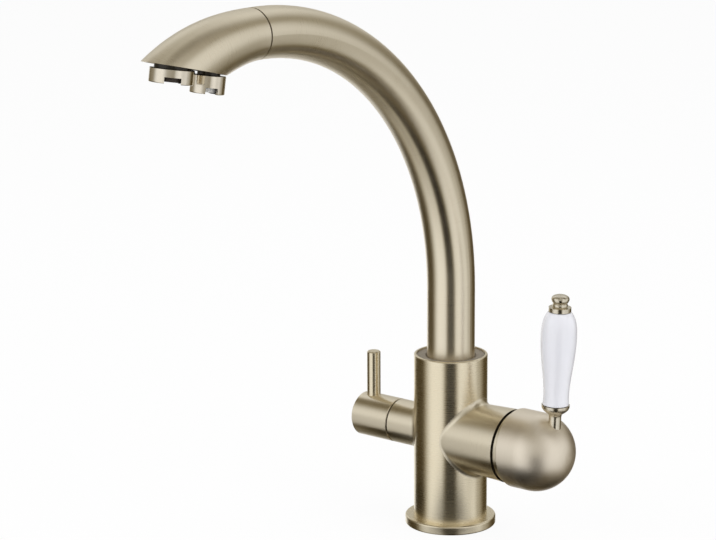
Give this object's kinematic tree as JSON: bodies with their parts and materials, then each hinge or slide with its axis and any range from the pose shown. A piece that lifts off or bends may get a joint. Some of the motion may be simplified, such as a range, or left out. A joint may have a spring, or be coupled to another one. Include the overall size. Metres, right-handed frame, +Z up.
{
  "type": "three way filtered water tap",
  "caption": "Tall kitchen mixer tap with an arched swivelling spout, a ball mixer handle with a porcelain lever, and a side knob and separate nozzle for filtered water.",
  "frame": {"origin": "centre of the base flange's underside, on the deck", "axes": "+Z up; +X along the mixer branch to the ball handle; -X along the filter branch; the spout at rest points along -Y"},
  "size_m": [0.1701, 0.3079, 0.3633],
  "materials": {
    "brushed_brass": "brushed satin, antique tone",
    "polished_brass": "polished, lightly brushed",
    "plain_brass": "machined, unplated",
    "white_porcelain": "glossy white glaze",
    "alumina": "lapped",
    "white_plastic": "moulded",
    "grey_plastic": "moulded",
    "black_rubber": "matt",
    "stainless_steel": "machined"
  },
  "bodies": {
    "tap_body": {"tap_body": "brushed_brass", "column_foot": "brushed_brass", "mixer_branch": "brushed_brass", "filter_branch": "brushed_brass", "base_flange": "brushed_brass", "base_gasket": "black_rubber", "inlet_manifold": "plain_brass", "manifold_seals": "black_rubber", "lower_spout_bush": "white_plastic", "upper_spout_bush": "grey_plastic", "spout_retaining_screw": "stainless_steel", "filtered_water_riser": "plain_brass", "cartridge_base": "white_plastic", "cartridge_seals": "black_rubber", "fixed_ceramic_disc": "alumina", "cartridge_housing": "white_plastic", "cartridge_nut": "plain_brass", "dome_ring": "brushed_brass", "filter_valve_body": "plain_brass", "filter_valve_orings": "black_rubber", "filter_spindle_oring": "black_rubber", "filter_fixed_disc": "alumina"},
    "spout": {"spout_tube": "brushed_brass", "spout_swivel_sleeve": "plain_brass", "spout_orings": "black_rubber", "riser_oring": "black_rubber", "filtered_water_tube": "white_plastic", "head_joint_sleeve": "plain_brass", "spout_head": "brushed_brass", "outlet_block": "plain_brass", "aerator_housing": "polished_brass", "aerator_insert": "grey_plastic", "aerator_washer": "black_rubber", "filter_nozzle_housing": "polished_brass", "filter_nozzle_insert": "grey_plastic", "filter_nozzle_washer": "black_rubber"},
    "mixer_rotor": {"cartridge_rotor": "white_plastic", "lever_cross_pin": "stainless_steel"},
    "flow_disc": {"moving_ceramic_disc": "alumina", "disc_carrier": "grey_plastic"},
    "mixer_handle": {"cartridge_lever": "stainless_steel", "handle_cap": "brushed_brass", "handle_grub_screw": "stainless_steel", "handle_screw_plug": "brushed_brass", "lever_stem": "brushed_brass", "lever_cup": "brushed_brass", "porcelain_grip": "white_porcelain", "grip_washers": "grey_plastic", "lever_finial": "brushed_brass", "lever_tie_rod": "stainless_steel"},
    "filter_knob": {"filter_knob": "brushed_brass", "filter_pin_lever": "brushed_brass", "filter_spindle": "plain_brass", "filter_moving_disc": "alumina"}
  },
  "joints": [
    {"name": "spout_swivel", "type": "hinge", "parent": "tap_body", "child": "spout", "pos_m": [0, 0, 0.1], "axis": [0, 0, 1], "range_deg": [-170, 170]},
    {"name": "mixer_temperature", "type": "hinge", "parent": "tap_body", "child": "mixer_rotor", "pos_m": [0.04, 0, 0.0616], "axis": [1, 0, 0], "range_deg": [-50, 50]},
    {"name": "mixer_flow", "type": "hinge", "parent": "mixer_rotor", "child": "mixer_handle", "pos_m": [0.0545, 0, 0.0616], "axis": [0, 1, 0], "range_deg": [0, 12]},
    {"name": "disc_slide", "type": "slide", "parent": "mixer_rotor", "child": "flow_disc", "axis": [0, 0, 1], "range_m": [0, 0.0037]},
    {"name": "filter_turn", "type": "hinge", "parent": "tap_body", "child": "filter_knob", "pos_m": [-0.05, 0, 0.0616], "axis": [1, 0, 0], "range_deg": [0, 90]}
  ],
  "couplings": [
    {"joint": "disc_slide", "follows": "mixer_flow", "m_per_rad": 0.0175}
  ]
}
